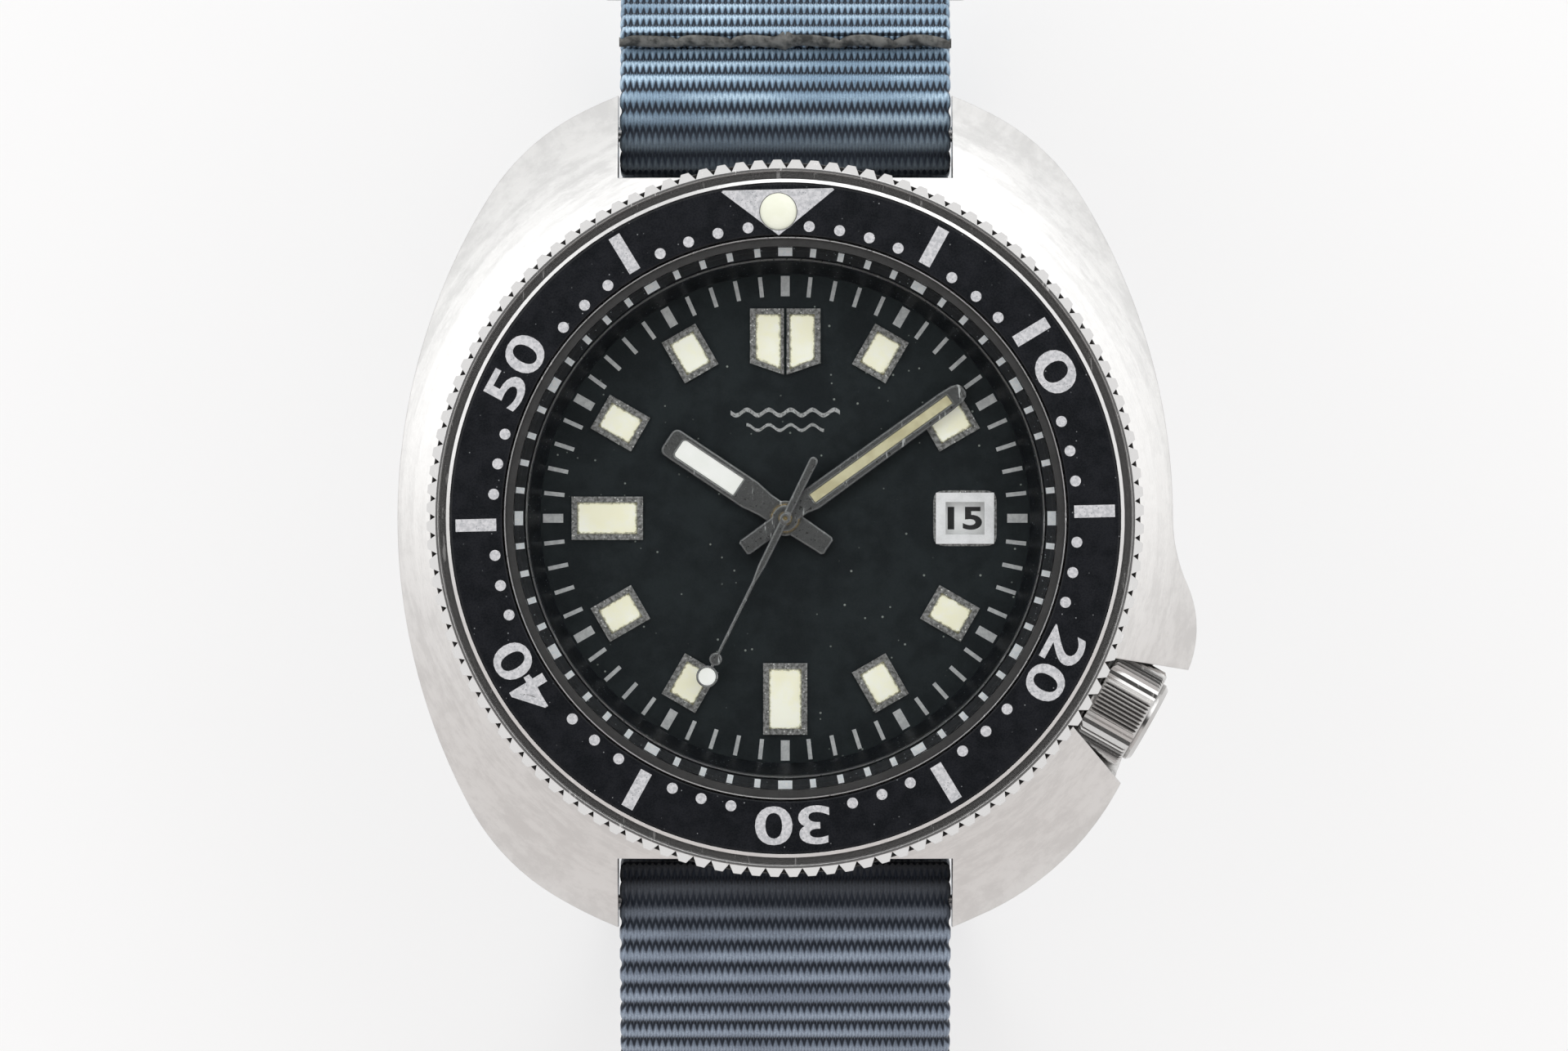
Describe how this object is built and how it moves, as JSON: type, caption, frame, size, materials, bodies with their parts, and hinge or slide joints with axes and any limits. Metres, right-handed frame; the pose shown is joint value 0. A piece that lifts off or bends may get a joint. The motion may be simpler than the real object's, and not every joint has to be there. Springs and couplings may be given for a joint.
{
  "type": "dive watch",
  "caption": "Automatic dive watch with a cushion case, a turning elapsed-time bezel, a dated dial, a gear-train movement and a buckled woven strap.",
  "frame": {"origin": "under the hands' axis, on the flat face that the closed strap stands on", "axes": "+X to three o'clock, +Y to twelve o'clock, +Z out of the dial"},
  "size_m": [0.0454, 0.0721, 0.0584],
  "materials": {
    "steel_brushed": "circular brushed steel with polished flanks",
    "steel_polished": "polished steel",
    "insert_black": "black anodised aluminium with silver marks",
    "lume": "aged luminous paint",
    "dial_black": "matt black enamel",
    "marker_metal": "darkened plated frames",
    "chapter_black": "black with pale ticks",
    "crystal_glass": "clear hardened mineral glass",
    "rubber_black": "black seal",
    "date_white": "white enamel",
    "movement_plate": "nickelled brass with striped finish",
    "brass": "gilt brass",
    "hard_steel": "hardened bright steel",
    "blued_steel": "blued steel",
    "jewel_red": "synthetic ruby",
    "holder_plastic": "white moulded plastic",
    "strap_nylon": "blue-grey ribbed nylon webbing"
  },
  "bodies": {
    "case": {"case_middle": "steel_brushed", "case_back": "steel_brushed", "case_back_gasket": "rubber_black", "crown_tube": "steel_polished", "spring_bars": "hard_steel", "bezel_gasket": "rubber_black", "click_balls": "hard_steel", "click_springs": "hard_steel", "crystal": "crystal_glass", "crystal_gasket": "rubber_black", "crystal_ring": "steel_polished", "chapter_ring": "chapter_black", "dial": "dial_black", "marker_frames": "marker_metal", "marker_lume": "lume", "date_frame": "date_white", "movement_holder": "holder_plastic", "main_plate": "movement_plate", "train_bridge": "movement_plate", "balance_cock": "movement_plate", "movement_screws": "blued_steel", "jewels": "jewel_red", "hairspring": "blued_steel", "rotor_screw": "hard_steel", "strap_band": "strap_nylon", "keeper_upper": "steel_brushed", "keeper_lower": "steel_brushed", "buckle_bar": "hard_steel"},
    "bezel": {"bezel_ring": "steel_polished", "bezel_insert": "insert_black", "bezel_pip": "lume", "click_ring": "hard_steel"},
    "crown_slider": {"crown_gasket": "rubber_black"},
    "crown": {"crown": "steel_polished", "winding_stem": "hard_steel"},
    "seconds": {"fourth_wheel": "brass", "seconds_hand": "steel_polished", "seconds_lume": "lume"},
    "minutes": {"centre_wheel": "brass", "minute_hand": "steel_polished", "minute_lume": "lume"},
    "hours": {"hour_wheel": "brass", "hour_hand": "steel_polished", "hour_lume": "lume"},
    "third": {"third_wheel": "brass"},
    "escape": {"escape_wheel": "hard_steel"},
    "barrel": {"barrel": "brass", "mainspring": "hard_steel"},
    "motion": {"minute_wheel": "brass"},
    "fork": {"pallet_fork": "hard_steel"},
    "balance": {"balance_wheel": "brass"},
    "date": {"date_ring": "date_white"},
    "rotor": {"rotor": "movement_plate"},
    "buckle": {"buckle_frame": "steel_brushed"},
    "tongue": {"buckle_tongue": "steel_brushed"}
  },
  "joints": [
    {"name": "bezel_turn", "type": "hinge", "parent": "case", "child": "bezel", "pos_m": [0, 0, 0.05591], "axis": [0, 0, 1], "continuous": true},
    {"name": "crown_pull", "type": "slide", "parent": "case", "child": "crown_slider", "axis": [0.8704, -0.4924, 0], "range_m": [0, 0.0015]},
    {"name": "crown_turn", "type": "hinge", "parent": "crown_slider", "child": "crown", "pos_m": [0.01915, -0.01083, 0.05051], "axis": [0.8704, -0.4924, 0], "continuous": true},
    {"name": "seconds_turn", "type": "hinge", "parent": "case", "child": "seconds", "pos_m": [0, 0, 0.04991], "axis": [0, 0, 1], "continuous": true},
    {"name": "minutes_turn", "type": "hinge", "parent": "case", "child": "minutes", "pos_m": [0, 0, 0.05021], "axis": [0, 0, 1], "continuous": true},
    {"name": "hours_turn", "type": "hinge", "parent": "case", "child": "hours", "pos_m": [0, 0, 0.05221], "axis": [0, 0, 1], "continuous": true},
    {"name": "third_turn", "type": "hinge", "parent": "case", "child": "third", "pos_m": [-0.00396, 0, 0.05001], "axis": [0, 0, 1], "continuous": true},
    {"name": "escape_turn", "type": "hinge", "parent": "case", "child": "escape", "pos_m": [-0.00067, -0.00381, 0.05071], "axis": [0, 0, 1], "continuous": true},
    {"name": "barrel_turn", "type": "hinge", "parent": "case", "child": "barrel", "pos_m": [0.00136, 0.00509, 0.05051], "axis": [0, 0, 1], "continuous": true},
    {"name": "motion_turn", "type": "hinge", "parent": "case", "child": "motion", "pos_m": [-0.00165, -0.00236, 0.05201], "axis": [0, 0, 1], "continuous": true},
    {"name": "balance_swing", "type": "hinge", "parent": "case", "child": "balance", "pos_m": [-0.00615, -0.00652, 0.05041], "axis": [0, 0, 1], "range_deg": [-26, 26]},
    {"name": "fork_swing", "type": "hinge", "parent": "case", "child": "fork", "pos_m": [-0.00115, -0.00652, 0.05076], "axis": [0, 0, 1], "range_deg": [-7, 7]},
    {"name": "date_turn", "type": "hinge", "parent": "case", "child": "date", "pos_m": [0, 0, 0.05201], "axis": [0, 0, 1], "continuous": true},
    {"name": "rotor_turn", "type": "hinge", "parent": "case", "child": "rotor", "pos_m": [0, 0, 0.04791], "axis": [0, 0, 1], "continuous": true},
    {"name": "buckle_swing", "type": "hinge", "parent": "case", "child": "buckle", "pos_m": [0, 0.03197, 0.01966], "axis": [1, 0, 0], "range_deg": [0, 35]},
    {"name": "tongue_swing", "type": "hinge", "parent": "buckle", "child": "tongue", "pos_m": [0, 0.03197, 0.01966], "axis": [1, 0, 0], "range_deg": [0, 60]}
  ],
  "couplings": [
    {"joint": "minutes_turn", "follows": "seconds_turn", "ratio": 0.016667},
    {"joint": "hours_turn", "follows": "seconds_turn", "ratio": 0.0013889},
    {"joint": "third_turn", "follows": "seconds_turn", "ratio": -0.13333},
    {"joint": "escape_turn", "follows": "seconds_turn", "ratio": -12},
    {"joint": "barrel_turn", "follows": "seconds_turn", "ratio": -0.0020833},
    {"joint": "motion_turn", "follows": "seconds_turn", "ratio": -0.0055556},
    {"joint": "fork_swing", "follows": "balance_swing", "ratio": -0.25}
  ]
}
